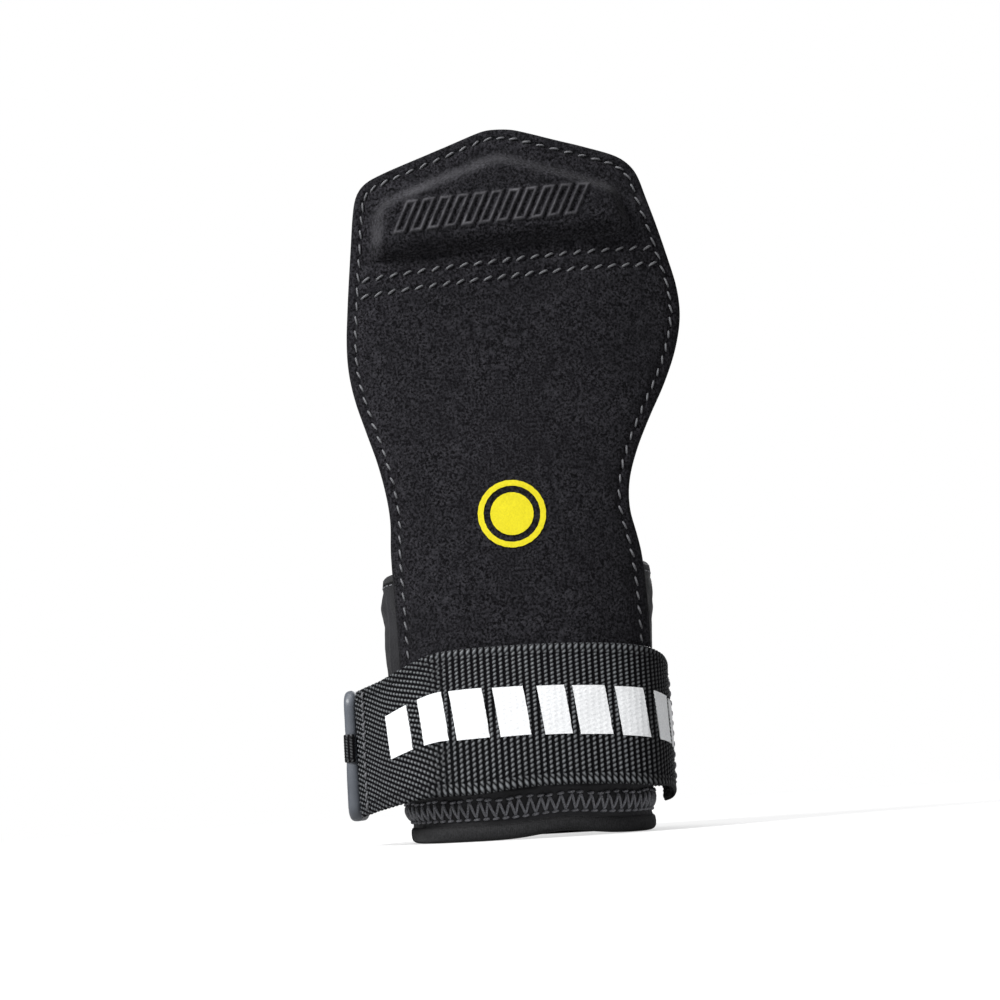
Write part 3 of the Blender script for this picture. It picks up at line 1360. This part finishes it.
def patch(name, line, lie, start, end, base, top, ride, seed, width=26):
    """Hook-and-loop patch from offset base to top: small bumps and rounded borders."""
    step = 0.5
    u, v = np.meshgrid(np.linspace(start, end, int((end - start) / step)),
                       np.linspace(-width / 2, width / 2, int(width / step)), indexing="ij")
    margin = np.minimum(np.minimum(u - start, end - u), width / 2 - np.abs(v))
    rounding = quarter_round(clip01(margin))
    pile = 0.22 * (np.random.default_rng(seed).random(u.shape) - 0.5)
    pile = pile + 0.2 * noise(u / 1.4, v / 1.4, seed)
    foot = lie(u, v) + base
    face = foot + (top - base) * (0.35 + 0.65 * rounding) + np.sign(top) * pile * rounding
    make(name, loft(two_sided(line.point(u, face, v), line.point(u, foot, v))), HOOK_LOOP,
         ride=ride)


def loop_patch():
    start, end = CLOSURE.station([4, 10.2]) - [0, 6]
    patch("loop_patch", CLOSURE, closure_lie, start, end, base=0.8, top=1.75, ride="cuff",
          seed=91)
    sew("loop_patch_stitch", CLOSURE, closure_lie,
        box_rows(start + 1.2, end - 1.2, 11.4, slant=6), out=1.72, radius=0.24)


def hook_patch():
    start, end = TAIL.station(5) + 4, TAIL.length
    patch("hook_patch", TAIL, tail_lie, start, end - 0.6, base=-0.75, top=-1.65, ride="tail",
          seed=92)
    sew("hook_patch_stitch", TAIL, tail_lie, box_rows(start + 1, end - 2, 11.4, slant=6),
        out=0.85, radius=0.28, ride="tail")


def pull_tab():
    """Moulded tab with raised grip ribs and rounded outer corners."""
    start, end, half = 3.6, PULL.length, 12
    u, v = np.meshgrid(np.linspace(start, end, 70), np.linspace(-half, half, 60), indexing="ij")
    corner = clip01((u - (end - 5)) / 5)
    v = v * (1 - 0.28 * (1 - np.sqrt(np.clip(1 - corner**2.2, 0, 1))))
    margin = np.minimum(np.minimum(u - start, end - u), half - np.abs(v))
    bulge = quarter_round(clip01(margin / 1.1)) * 0.95
    ribbed = (np.abs(v) < 8.6) * (u > 5) * (u < end - 1.6)
    rib = 0.45 * smooth((np.cos(2 * math.pi * (u - 4.4) / 2.1) + 0.3) / 0.8) * ribbed
    make("pull_tab", loft(two_sided(PULL.point(u, 0.05 + bulge + rib, v),
                                    PULL.point(u, 0.05 - bulge, v))), RUBBER, ride="tail")


loop_patch()
hook_patch()
pull_tab()

# ------------------------------------------------------------------ the ring and its tab

BAR_R = 1.7
RING_H, RING_DEPTH = 40.0, 15.5  # overall height; front bar's centre to the rear bar's
RING_BOTTOM = STRAP_Z - 1 - RING_H / 2
FRONT_BAR = np.array([-53.4, CENTRE_Y - 5.4])  # (x, y) of the bar the tab goes round
RING_WAY = np.array([1.4, math.sqrt(RING_DEPTH**2 - 1.4**2)]) / RING_DEPTH


def ring_path():
    """Centre line (along RING_WAY, up) of a rounded rectangle, with its outward normals."""
    wide, high, radius = RING_DEPTH, RING_H - 2 * BAR_R, 3.4
    corners = []
    for x, z, first in ((wide - radius, radius, -90), (wide - radius, high - radius, 0),
                        (radius, high - radius, 90), (radius, radius, 180)):
        for a in np.radians(np.linspace(first, first + 90, 14)):
            cos, sin = math.cos(a), math.sin(a)
            corners.append(np.array([x + radius * cos, z + radius * sin, cos, sin]))
    path = []
    for i, here in enumerate(corners):
        step = corners[(i + 1) % len(corners)] - here
        count = max(1, int(math.hypot(step[0], step[1]) / 0.8))
        path += [here + step * (k / count) for k in range(count)]
    path = np.array(path)
    return path[:, :2], unit(path[:, 2:])


def ring():
    """Rounded frame of moulded plastic."""
    turn = np.linspace(0, 2 * math.pi, 24, endpoint=False)
    sections = []
    for (x, z), (normal_x, normal_z) in zip(*ring_path()):
        # slimmer where the tab goes round
        z = z + RING_BOTTOM + BAR_R
        slim = 0.45 * gauss((z - 30) / 4.6) + 0.16 * smooth((z - 33) / 6)
        out = (BAR_R - 0.5 * slim) * signed_power(np.cos(turn), 0.85)
        side = (2.02 - slim) * signed_power(np.sin(turn), 0.85)
        sideways = np.array([-RING_WAY[1], RING_WAY[0]]) * side[:, None]
        plan = FRONT_BAR + RING_WAY * (x + normal_x * out)[:, None] + sideways
        sections.append(np.c_[plan, z + normal_z * out])
    make("ring", loft(sections, closed=True), RING, ride="ring")


def ring_tab():
    """Narrow webbing loop round the front bar, laid behind the strap's end."""
    angle = math.atan2(-0.787, 0.617)
    way = np.array([math.cos(angle), math.sin(angle)])
    normal = np.array([-way[1], way[0]])
    radius = BAR_R + 0.02 + 0.30
    path = [(12 - i, radius) for i in np.linspace(0, 12, 18)]
    path += [(radius * math.cos(a), radius * math.sin(a))
             for a in np.radians(np.linspace(96, 350, 40))]
    path = np.array(path)
    arcs = arc_lengths(path)
    u = np.linspace(0, arcs[-1], 150)
    line = np.stack([np.interp(u, arcs, path[:, k]) for k in (0, 1)], 1)
    heading = unit(np.gradient(line, axis=0))
    out = np.stack([heading[:, 1], -heading[:, 0]], 1)[:, None]
    half = 4.25
    u, v = np.meshgrid(u, np.linspace(-half, half, 44), indexing="ij")
    body = quarter_round(np.clip(half - np.abs(v), 0, 0.5) / 0.5) * 0.36
    height = weave(u, v, 2 * half, cord=1.3, bead=0.9, selvage=1.2)

    def face(offset):
        local = line[:, None] + out * offset[..., None]
        plan = FRONT_BAR + local[..., :1] * way + local[..., 1:] * normal
        return np.concatenate([plan, v[..., None] + 30.0], -1)

    woven = two_sided(height, height).reshape(-1)
    make("ring_tab", loft(two_sided(face(body + 0.16 * (height - 0.3)), face(-body))),
         CLOSURE_WEBBING, ride="cuff",
         attributes={"weave": woven, "tone": np.full(len(woven), 0.8)})


ring()
ring_tab()

# ------------------------------------------------------------------ floor, lights and camera


def floor():
    """A wide pale floor that whitens with distance, so that it has no horizon."""
    mesh = bpy.data.meshes.new("floor")
    mesh.from_pydata([(-30, -30, 0), (30, -30, 0), (30, 30, 0), (-30, 30, 0)], [], [(0, 1, 2, 3)])
    obj = bpy.data.objects.new("floor", mesh)
    bpy.context.scene.collection.objects.link(obj)
    material = bpy.data.materials.new("floor")
    material.use_nodes = True
    g = Graph(material.node_tree)
    surface = g.tree.nodes["Principled BSDF"]
    surface.inputs["Base Color"].default_value = (0.86, 0.86, 0.86, 1)
    surface.inputs["Roughness"].default_value = 0.9
    surface.inputs["Specular IOR Level"].default_value = 0.1
    position = g.node("ShaderNodeNewGeometry").outputs["Position"]
    distance = g.node("ShaderNodeVectorMath", operation="LENGTH")
    g.put(distance.inputs[0], position)
    whiteness = g.remap(distance.outputs["Value"], to=(0.55, 1.0), source=(0.12, 0.9))
    seen = g.node("ShaderNodeLightPath").outputs["Is Camera Ray"]
    glow_share = g.math("MULTIPLY", seen, whiteness)
    # darker to the camera than to the light it bounces
    g.put(surface.inputs["Base Color"], g.mix(seen, (0.40, 0.40, 0.40), (0.90, 0.90, 0.90)))
    glow, blend = g.node("ShaderNodeEmission"), g.node("ShaderNodeMixShader")
    glow.inputs["Color"].default_value = (1, 1, 1, 1)
    glow.inputs["Strength"].default_value = 1.0
    g.put(blend.inputs[0], glow_share)
    g.put(blend.inputs[1], surface.outputs[0])
    g.put(blend.inputs[2], glow.outputs[0])
    g.put(g.tree.nodes["Material Output"].inputs["Surface"], blend.outputs[0])
    mesh.materials.append(material)


def area(name, place, target_z, size, power):
    """Round area light aimed at a height on the z axis, in metres and watts."""
    light = bpy.data.lights.new(name, "AREA")
    light.shape, light.size, light.energy, light.color = "DISK", size, power, (1, 1, 1)
    obj = bpy.data.objects.new(name, light)
    obj.location = place
    obj.rotation_mode = "QUATERNION"
    aim = Vector((0, 0, target_z)) - Vector(place)
    obj.rotation_quaternion = aim.to_track_quat("-Z", "Y")
    bpy.context.scene.collection.objects.link(obj)


def studio_world():
    """White to the camera, dim grey as a light."""
    world = bpy.data.worlds.new("studio")
    bpy.context.scene.world = world
    world.use_nodes = True
    g = Graph(world.node_tree)
    background = g.tree.nodes["Background"]
    seen = g.node("ShaderNodeLightPath").outputs["Is Camera Ray"]
    g.put(background.inputs["Color"], g.mix(seen, (0.17, 0.17, 0.175), (1.0, 1.0, 1.0)))
    background.inputs["Strength"].default_value = 1.0


def camera():
    """Low in front of the grip, looking up, rolled a little."""
    obj = bpy.data.objects.new("camera", bpy.data.cameras.new("camera"))
    bpy.context.scene.collection.objects.link(obj)
    pitch, roll = math.radians(8.0), math.radians(3.5)
    aside, above = 0.00513538749, 0.00606909430  # aim offsets, as tangents
    forward = Vector((0, math.cos(pitch), math.sin(pitch)))
    up = Vector((0, -math.sin(pitch), math.cos(pitch)))
    right = Vector((1, 0, 0))
    rolled_right = right * math.cos(roll) - up * math.sin(roll)
    rolled_up = right * math.sin(roll) + up * math.cos(roll)
    aim = (forward - rolled_right * aside - rolled_up * above).normalized()
    side = (rolled_right - aim * rolled_right.dot(aim)).normalized()
    top = side.cross(aim).normalized()
    obj.rotation_mode = "QUATERNION"
    obj.rotation_quaternion = Matrix((side, top, -aim)).transposed().to_quaternion()
    obj.location = (0.0, -0.660, 0.015)
    obj.data.lens = 77.112
    obj.data.sensor_width = 36
    obj.data.clip_start = 0.01
    bpy.context.scene.camera = obj


floor()
area("key", (-0.86, -0.86, 1.0), target_z=0.12, size=0.45, power=35.0)
area("fill", (0.35, 1.3, 0.7), target_z=0.1, size=0.7, power=12.0)
area("side", (0.95, -1.0, 0.45), target_z=0.1, size=0.8, power=3.5)
area("top", (-0.2, -0.1, 1.4), target_z=0.1, size=0.6, power=9.0)
studio_world()
camera()
bpy.context.scene.view_settings.view_transform = "Standard"
